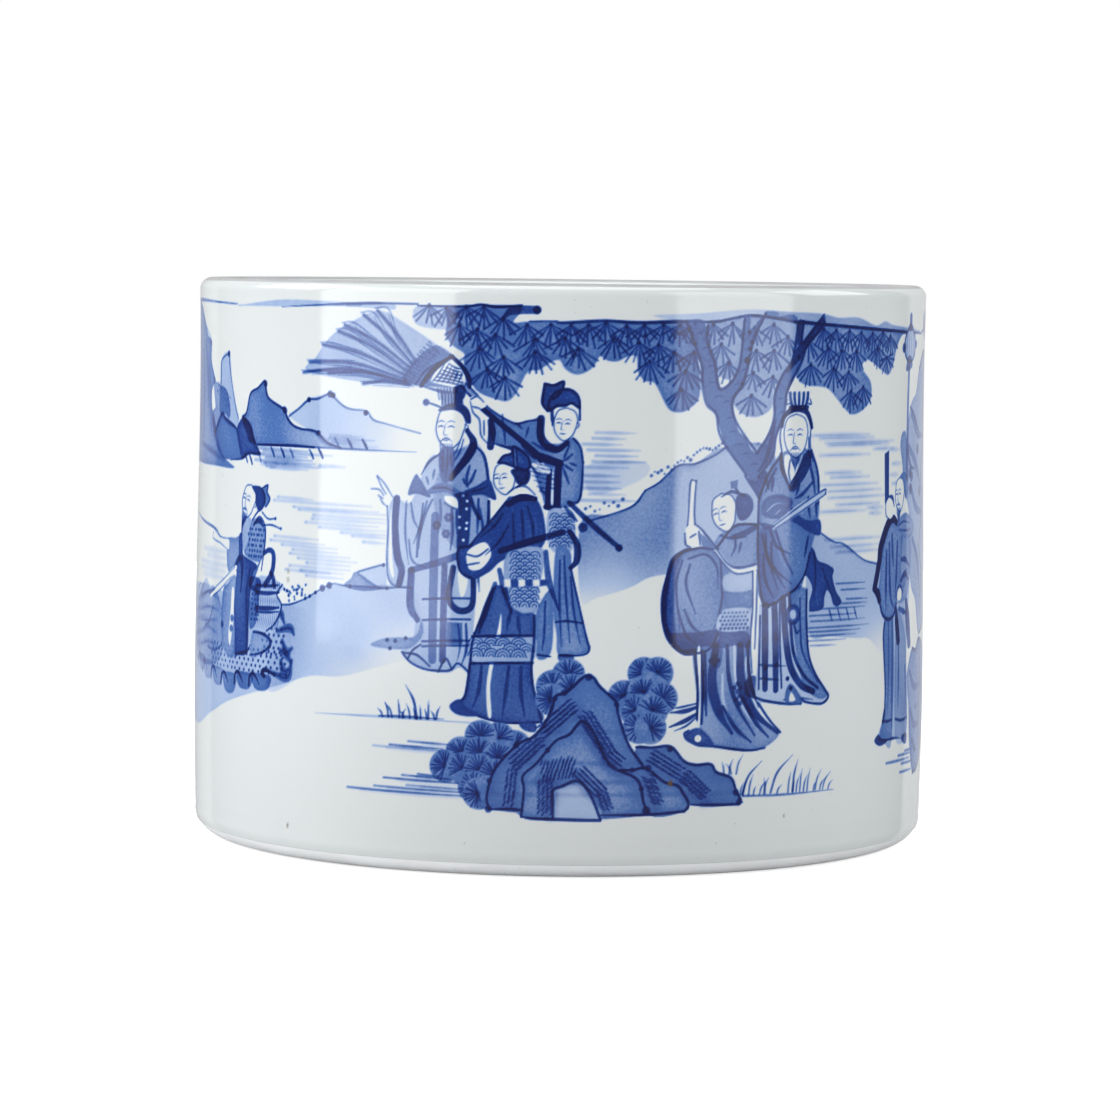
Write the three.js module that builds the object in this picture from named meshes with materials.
// A porcelain brush pot as a potter builds it: a thrown wall luted onto a turned base disc, with
// glaze outside, inside and in the well under the base. The foot ring and the crest of the lip
// are bare. Millimetres, +Z up, origin at the middle of the face that the pot stands on.
import * as THREE from 'three';

// Driving dimensions of the glazed pot
const HEIGHT = 144.8;
const RIM_DIAMETER = 190;
const WAIST = 0.1; // how far the narrowest place lies inside the rim's radius
const WAIST_DROP = 38; // and how far below the rim
const BELLY = 0.8; // how far the widest place stands outside the rim's radius
const BELLY_HEIGHT = 46; // and its height above the foot
const HEEL = 0.3; // how far the foot's round edge begins outside the rim's radius

// Clay
const WALL = 7; // thickness of the thrown wall at the rim
const TAPER = 1.2; // how much thicker the wall is at its foot
const FLOOR_HEIGHT = 12; // top of the base disc
const FLANGE_HEIGHT = 8; // the wall stands on the base disc's flange here
const LIP_RADIUS = 3;
const HEEL_WIDTH = 6.6; // the round edge of the foot, measured across
const HEEL_HEIGHT = 6; // and measured up
const FOOT_RING_WIDTH = 34; // the bare ring that the pot stands on
const WELL_DEPTH = 3; // from the standing face up to the clay inside the foot ring
const WELL_SLOPE = 1.4; // how far the well's side leans in

// Glaze
const GLAZE = 0.4;
const GLAZE_LINE = 3.8; // height at which the outer glaze stops above the foot
const LIP_GLAZE_ANGLE = 50; // degrees round the lip's edge that the glaze reaches
const INNER_CORNER = 5; // radius of the glaze between the wall and the floor

// Neighbouring pieces keep this gap.
const GAP = 0.3;

// Fineness of the turned surfaces
const SEGMENTS = 64;
const WALL_STEPS = 8;
const LIP_STEPS = 4;
const HEEL_STEPS = 4;
const CORNER_STEPS = 4;

const SKIN = GLAZE + GAP; // from the glazed face in to the clay
const RIM_R = RIM_DIAMETER / 2;
const LIP_Z = HEIGHT - LIP_RADIUS;
const OUTER_LIP_R = RIM_R - LIP_RADIUS;
const INNER_RIM_R = RIM_R - SKIN - WALL;
const INNER_LIP_R = INNER_RIM_R + LIP_RADIUS - SKIN;
const INNER_FOOT_R = INNER_RIM_R - TAPER;
const HEEL_R = RIM_R + HEEL;
const FOOT_R = HEEL_R - HEEL_WIDTH;
const WELL_R = FOOT_R - FOOT_RING_WIDTH;
const HEEL_GLAZE_ANGLE = THREE.MathUtils.radToDeg(Math.asin(1 - GLAZE_LINE / HEEL_HEIGHT));

const point = (r, z) => new THREE.Vector2(r, z);

// Points on an ellipse about (r, z), between two angles in degrees.
function arc(r, z, width, height, from, to, steps) {
  const points = [];
  for (let i = 0; i <= steps; i++) {
    const a = THREE.MathUtils.degToRad(from + ((to - from) * i) / steps);
    points.push(point(r + width * Math.cos(a), z + height * Math.sin(a)));
  }
  return points;
}

// The outside of the wall between the foot's round edge and the lip's, set in by `inset`.
function wallCurve(inset) {
  const curve = new THREE.SplineCurve([
    point(HEEL_R, HEEL_HEIGHT),
    point(RIM_R + BELLY, BELLY_HEIGHT),
    point(RIM_R - WAIST, HEIGHT - WAIST_DROP),
    point(RIM_R, LIP_Z),
  ]);
  return curve.getPoints(WALL_STEPS).map((p) => point(p.x - inset, p.y));
}

// The foot's round edge, set in by `inset`.
function heel(inset, from, to) {
  return arc(FOOT_R, HEEL_HEIGHT, HEEL_WIDTH - inset, HEEL_HEIGHT - inset, from, to, HEEL_STEPS);
}

// Turns a closed profile about the pot's axis. It runs anticlockwise, with the radius to the right.
function turned(name, profile, material) {
  const closed = profile[0].x > 0 ? [...profile, profile[0].clone()] : profile;
  const geometry = new THREE.LatheGeometry(closed, SEGMENTS);
  geometry.rotateX(Math.PI / 2);
  const mesh = new THREE.Mesh(geometry, material);
  mesh.name = name;
  return mesh;
}

const clay = new THREE.MeshStandardMaterial({ color: 0xe3ddd6, roughness: 0.75, metalness: 0 });
const painted = new THREE.MeshStandardMaterial({ color: 0xdde6e8, roughness: 0.1, metalness: 0 });
const plain = new THREE.MeshStandardMaterial({ color: 0xdfe6e5, roughness: 0.12, metalness: 0 });

// The thrown wall is a slightly waisted tube, thicker at its foot, with a round lip.
function thrownWall() {
  const start = FLANGE_HEIGHT + GAP;
  const outside = wallCurve(SKIN).filter((p) => p.y > start + 1);
  return turned(
    'thrown_wall',
    [
      point(INNER_FOOT_R, start),
      point(HEEL_R - SKIN, start),
      ...outside.slice(0, -1),
      ...arc(OUTER_LIP_R, LIP_Z, LIP_RADIUS - SKIN, LIP_RADIUS, 0, 90, LIP_STEPS),
      ...arc(INNER_LIP_R, LIP_Z, LIP_RADIUS - SKIN, LIP_RADIUS, 90, 180, LIP_STEPS),
    ],
    clay,
  );
}

// The base disc has a flange for the wall to stand on, a floor that plugs into the wall, a round
// heel, a broad foot ring and a shallow well underneath.
function baseDisc() {
  return turned(
    'base_disc',
    [
      point(0, WELL_DEPTH),
      point(WELL_R - WELL_SLOPE, WELL_DEPTH),
      point(WELL_R, 0),
      point(FOOT_R, 0),
      ...arc(FOOT_R, HEEL_HEIGHT, HEEL_WIDTH - SKIN, HEEL_HEIGHT, -90, 0, HEEL_STEPS).slice(1),
      point(HEEL_R - SKIN, FLANGE_HEIGHT),
      point(INNER_FOOT_R - GAP, FLANGE_HEIGHT),
      point(INNER_FOOT_R - GAP, FLOOR_HEIGHT),
      point(0, FLOOR_HEIGHT),
    ],
    clay,
  );
}

// The outer glaze runs from the glaze line on the heel to the lip's edge. Its face is painted.
function outerGlaze() {
  const lip = (inset, from, to) =>
    arc(OUTER_LIP_R, LIP_Z, LIP_RADIUS - inset, LIP_RADIUS, from, to, LIP_STEPS);
  const face = [
    ...heel(0, -HEEL_GLAZE_ANGLE, 0).slice(0, -1),
    ...wallCurve(0).slice(0, -1),
    ...lip(0, 0, LIP_GLAZE_ANGLE),
  ];
  const back = [
    ...heel(GLAZE, -HEEL_GLAZE_ANGLE, 0).slice(0, -1),
    ...wallCurve(GLAZE).slice(0, -1),
    ...lip(GLAZE, 0, LIP_GLAZE_ANGLE),
  ];
  return turned('outer_glaze', [...face, ...back.reverse()], painted);
}

// The inner glaze covers the inside of the wall and the floor, with a round corner between.
function innerGlaze() {
  const lip = (inset, from, to) =>
    arc(INNER_LIP_R, LIP_Z, LIP_RADIUS - SKIN + inset, LIP_RADIUS, from, to, LIP_STEPS);
  const back = INNER_FOOT_R - GAP;
  const face = back - GLAZE;
  const floor = FLOOR_HEIGHT + SKIN;
  return turned(
    'inner_glaze',
    [
      point(0, FLOOR_HEIGHT + GAP),
      point(back, FLOOR_HEIGHT + GAP),
      ...lip(GAP, 180, 180 - LIP_GLAZE_ANGLE),
      ...lip(SKIN, 180 - LIP_GLAZE_ANGLE, 180),
      ...arc(face - INNER_CORNER, floor + INNER_CORNER, INNER_CORNER, INNER_CORNER, 0, -90,
        CORNER_STEPS),
      point(0, floor),
    ],
    plain,
  );
}

// The well's glaze lies against the underside of the base disc, inside the foot ring.
function wellGlaze() {
  const radius = WELL_R - WELL_SLOPE;
  return turned(
    'well_glaze',
    [
      point(0, WELL_DEPTH - SKIN),
      point(radius - SKIN, WELL_DEPTH - SKIN),
      point(radius - GAP, WELL_DEPTH - GAP),
      point(0, WELL_DEPTH - GAP),
    ],
    plain,
  );
}

const pot = new THREE.Group();
pot.name = 'brush_pot';
pot.add(thrownWall(), baseDisc(), outerGlaze(), innerGlaze(), wellGlaze());

export default pot;
